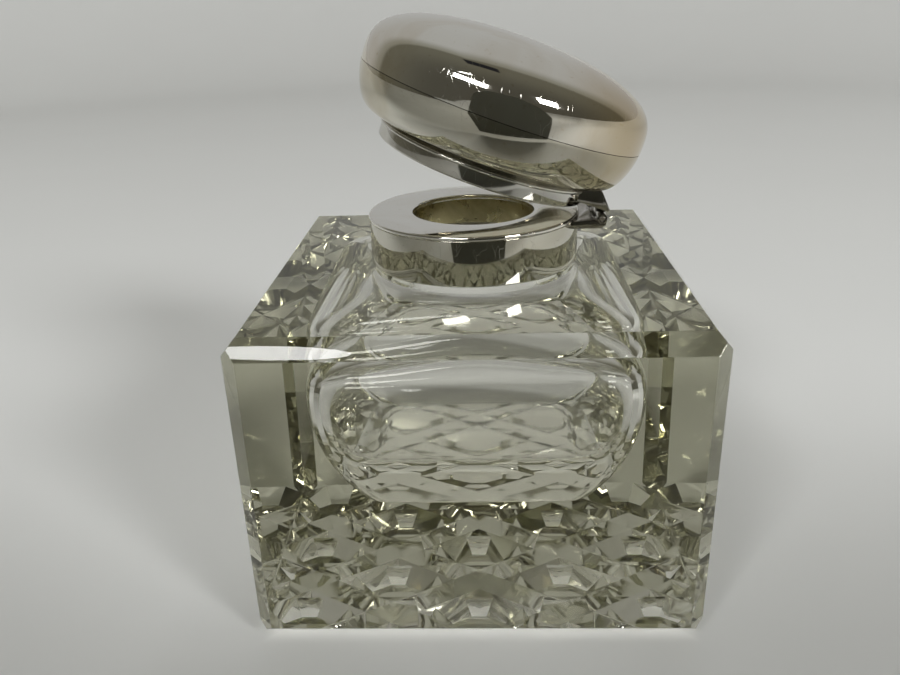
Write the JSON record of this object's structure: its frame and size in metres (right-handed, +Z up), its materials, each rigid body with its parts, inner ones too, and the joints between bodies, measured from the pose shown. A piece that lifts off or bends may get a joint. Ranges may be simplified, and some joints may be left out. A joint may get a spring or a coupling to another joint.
{
  "type": "inkwell",
  "caption": "Square bevelled cut-glass inkwell with a hobnail-cut base, a silver collar and a hollow domed silver lid on a side hinge.",
  "frame": {"origin": "centre of the glass block's base, on the surface it stands on", "axes": "+Z up, the hinge on the +X side with its axis parallel to Y"},
  "size_m": [0.09, 0.09, 0.1178],
  "materials": {
    "cut_glass": "clear lead glass with a faint olive tint, polished, wheel-cut base",
    "polished_silver": "polished silver with fine scratches and light warm tarnish",
    "tarnished_gilt": "worn gilding, darkened by ink and tarnish",
    "pin_metal": "dull drawn wire",
    "plaster": "matt off-white bedding plaster"
  },
  "bodies": {
    "base": {"glass_body": "cut_glass", "neck_plaster": "plaster", "collar_band": "polished_silver", "collar_plate": "polished_silver", "collar_sleeve": "tarnished_gilt", "hinge_lug": "polished_silver", "collar_knuckle_front": "polished_silver", "collar_knuckle_middle": "polished_silver", "collar_knuckle_rear": "polished_silver", "hinge_pin": "pin_metal"},
    "lid": {"lid_dome": "polished_silver", "lid_under_shell": "polished_silver", "lid_bezel": "polished_silver", "lid_bezel_wire": "polished_silver", "lid_liner": "tarnished_gilt", "lid_hinge_leaf": "polished_silver", "lid_knuckle_front": "polished_silver", "lid_knuckle_rear": "polished_silver"}
  },
  "joints": [
    {"name": "lid_hinge", "type": "hinge", "parent": "base", "child": "lid", "pos_m": [0.0263, 0, 0.07805], "axis": [0, 1, 0], "range_deg": [-20, 85]}
  ]
}
